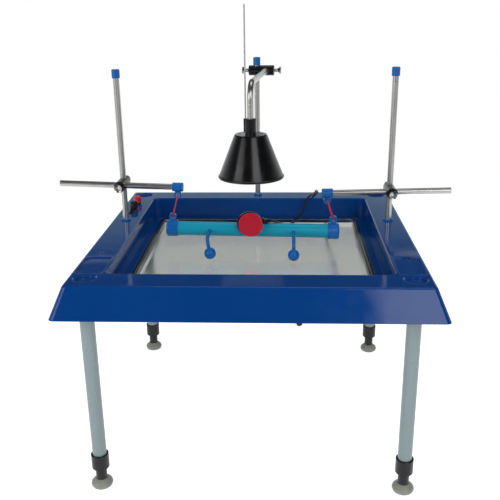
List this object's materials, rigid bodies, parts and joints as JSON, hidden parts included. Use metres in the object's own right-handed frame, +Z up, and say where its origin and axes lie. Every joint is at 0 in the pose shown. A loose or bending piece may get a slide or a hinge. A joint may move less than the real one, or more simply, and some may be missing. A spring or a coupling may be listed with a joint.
{
  "type": "ripple tank",
  "caption": "Square blue ripple tank on tube legs with a clear wave tray, steel uprights, a wave beam with motor and dippers on rubber bands, and a hooded lamp.",
  "frame": {"origin": "middle of the square tank, on the floor plane under the four feet", "axes": "+Z up, +Y to the rear where the lamp mast stands, +X to the right seen from the front"},
  "size_m": [0.7832, 0.8172, 0.8224],
  "materials": {
    "blue_moulding": "gloss",
    "clear_acrylic": "clear gloss",
    "rubber_seal": "matte",
    "black_moulding": "gloss",
    "zinc": "satin",
    "leg_paint": "satin",
    "foot_moulding": "satin",
    "blue_fitting": "gloss",
    "rod_steel": "satin",
    "black_metal": "gloss",
    "shade_metal": "gloss black paint",
    "red_rubber": "satin",
    "chrome": "polished",
    "teal_tube": "gloss",
    "red_disc": "gloss",
    "red_cap": "gloss",
    "ceramic": "matte",
    "lamp_glass": "frosted",
    "black_lead": "satin"
  },
  "bodies": {
    "base": {"tank_casing": "blue_moulding", "clear_tray": "clear_acrylic", "tray_seal": "rubber_seal", "leg_sockets": "black_moulding", "leg_bolts": "zinc", "leg_front_left": "leg_paint", "leg_front_right": "leg_paint", "leg_rear_left": "leg_paint", "leg_rear_right": "leg_paint", "leg_cups": "black_moulding", "rod_bushes": "blue_fitting", "bush_nuts": "zinc", "upright_left": "rod_steel", "upright_right": "rod_steel", "upright_caps": "blue_fitting", "terminal_posts": "black_moulding", "switch_body": "black_moulding", "lead_upper": "black_lead", "lead_lower": "black_lead", "lead_coil": "black_lead", "lead_plug": "black_moulding"},
    "foot_fl": {"foot_front_left": "foot_moulding"},
    "foot_fr": {"foot_front_right": "foot_moulding"},
    "foot_rl": {"foot_rear_left": "foot_moulding"},
    "foot_rr": {"foot_rear_right": "foot_moulding"},
    "left_boss": {"boss_left": "black_metal"},
    "left_screw_front": {"thumb_screw_left_front": "chrome"},
    "left_screw_rear": {"thumb_screw_left_rear": "chrome"},
    "left_rod": {"cross_rod_left": "rod_steel", "rod_hook_left": "blue_fitting", "band_left": "red_rubber"},
    "right_boss": {"boss_right": "black_metal"},
    "right_screw_front": {"thumb_screw_right_front": "chrome"},
    "right_screw_rear": {"thumb_screw_right_rear": "chrome"},
    "right_rod": {"cross_rod_right": "rod_steel", "rod_hook_right": "blue_fitting", "band_right": "red_rubber"},
    "beam": {"beam_tube": "teal_tube", "beam_cap_left": "blue_fitting", "beam_cap_right": "blue_fitting", "motor_saddle": "black_moulding", "motor_can": "rod_steel", "lead_clamp": "black_moulding"},
    "disc": {"eccentric_disc": "red_disc"},
    "left_dipper": {"dipper_left": "blue_fitting"},
    "right_dipper": {"dipper_right": "blue_fitting"},
    "mast": {"lamp_mast": "rod_steel", "mast_cap": "blue_fitting"},
    "lamp_slider": {"lamp_boss": "black_metal"},
    "lamp_screw_left": {"thumb_screw_lamp_left": "chrome"},
    "lamp_screw_right": {"thumb_screw_lamp_right": "chrome"},
    "lamp": {"lamp_arm": "chrome", "lamp_socket": "black_moulding", "lamp_shade": "shade_metal"},
    "bulb_carrier": {"bulb_holder": "ceramic", "bulb": "lamp_glass", "focus_rod": "rod_steel"},
    "red_terminal": {"terminal_cap_red": "red_cap"},
    "black_terminal": {"terminal_cap_black": "black_moulding"},
    "rocker": {"switch_rocker": "black_moulding"}
  },
  "joints": [
    {"name": "foot_fl_height", "type": "slide", "parent": "base", "child": "foot_fl", "axis": [0, 0, 1], "range_m": [-0.012, 0]},
    {"name": "foot_fr_height", "type": "slide", "parent": "base", "child": "foot_fr", "axis": [0, 0, 1], "range_m": [-0.012, 0]},
    {"name": "foot_rl_height", "type": "slide", "parent": "base", "child": "foot_rl", "axis": [0, 0, 1], "range_m": [-0.012, 0]},
    {"name": "foot_rr_height", "type": "slide", "parent": "base", "child": "foot_rr", "axis": [0, 0, 1], "range_m": [-0.012, 0]},
    {"name": "left_boss_height", "type": "slide", "parent": "base", "child": "left_boss", "axis": [0, 0, 1], "range_m": [0, 0.04], "deforming": ["lead_upper"]},
    {"name": "right_boss_height", "type": "slide", "parent": "base", "child": "right_boss", "axis": [0, 0, 1], "range_m": [0, 0.04]},
    {"name": "left_rod_reach", "type": "slide", "parent": "left_boss", "child": "left_rod", "axis": [0.9994, 0, -0.0349], "range_m": [-0.03, 0.03], "deforming": ["lead_upper"]},
    {"name": "right_rod_reach", "type": "slide", "parent": "right_boss", "child": "right_rod", "axis": [0.9998, 0, 0.0209], "range_m": [-0.03, 0.03]},
    {"name": "beam_bounce", "type": "slide", "parent": "left_rod", "child": "beam", "axis": [0, 0, 1], "range_m": [-0.001, 0.004], "stiffness_N_per_m": 400, "springref_m": 0.00815, "deforming": ["lead_upper", "band_left", "band_right"]},
    {"name": "disc_spin", "type": "hinge", "parent": "beam", "child": "disc", "pos_m": [-0.01119, 0.049, 0.40369], "axis": [0, 1, 0], "continuous": true},
    {"name": "left_dipper_turn", "type": "hinge", "parent": "beam", "child": "left_dipper", "pos_m": [-0.09309, 0.049, 0.38711], "axis": [0, 1, 0], "continuous": true},
    {"name": "right_dipper_turn", "type": "hinge", "parent": "beam", "child": "right_dipper", "pos_m": [0.07689, 0.049, 0.38415], "axis": [0, 1, 0], "continuous": true},
    {"name": "mast_swivel", "type": "hinge", "parent": "base", "child": "mast", "pos_m": [-0.003, 0.276, 0.4], "axis": [0, 0, 1], "range_deg": [-20, 20]},
    {"name": "lamp_boss_height", "type": "slide", "parent": "mast", "child": "lamp_slider", "axis": [0, 0, 1], "range_m": [-0.03, 0]},
    {"name": "lamp_arm_reach", "type": "slide", "parent": "lamp_slider", "child": "lamp", "axis": [0.0854, 0.9963, 0], "range_m": [0, 0.1]},
    {"name": "bulb_height", "type": "slide", "parent": "lamp", "child": "bulb_carrier", "axis": [0, 0, 1], "range_m": [-0.008, 0.006]},
    {"name": "left_screw_front_turn", "type": "hinge", "parent": "left_boss", "child": "left_screw_front", "pos_m": [-0.271, 0.0315, 0.479], "axis": [0, -1, 0], "range_deg": [0, 360]},
    {"name": "left_screw_rear_turn", "type": "hinge", "parent": "left_boss", "child": "left_screw_rear", "pos_m": [-0.271, 0.0875, 0.479], "axis": [0, 1, 0], "range_deg": [0, 360]},
    {"name": "right_screw_front_turn", "type": "hinge", "parent": "right_boss", "child": "right_screw_front", "pos_m": [0.271, 0.0315, 0.465], "axis": [0, -1, 0], "range_deg": [0, 360]},
    {"name": "right_screw_rear_turn", "type": "hinge", "parent": "right_boss", "child": "right_screw_rear", "pos_m": [0.271, 0.0875, 0.465], "axis": [0, 1, 0], "range_deg": [0, 360]},
    {"name": "lamp_screw_left_turn", "type": "hinge", "parent": "lamp_slider", "child": "lamp_screw_left", "pos_m": [-0.02044, 0.27749, 0.683], "axis": [-0.9963, 0.0854, 0], "range_deg": [0, 360]},
    {"name": "lamp_screw_right_turn", "type": "hinge", "parent": "lamp_slider", "child": "lamp_screw_right", "pos_m": [0.03536, 0.27271, 0.683], "axis": [0.9963, -0.0854, 0], "range_deg": [0, 360]},
    {"name": "red_terminal_turn", "type": "hinge", "parent": "base", "child": "red_terminal", "pos_m": [-0.271, 0.195, 0.405], "axis": [0, 0, 1], "range_deg": [0, 360]},
    {"name": "black_terminal_turn", "type": "hinge", "parent": "base", "child": "black_terminal", "pos_m": [-0.271, 0.152, 0.405], "axis": [0, 0, 1], "range_deg": [0, 360]},
    {"name": "switch_rock", "type": "hinge", "parent": "base", "child": "rocker", "pos_m": [-0.2715, 0.129, 0.399], "axis": [1, 0, 0], "range_deg": [-16, 0]}
  ],
  "couplings": [
    {"joint": "right_boss_height", "follows": "left_boss_height", "ratio": 1},
    {"joint": "right_rod_reach", "follows": "left_rod_reach", "ratio": 1}
  ]
}
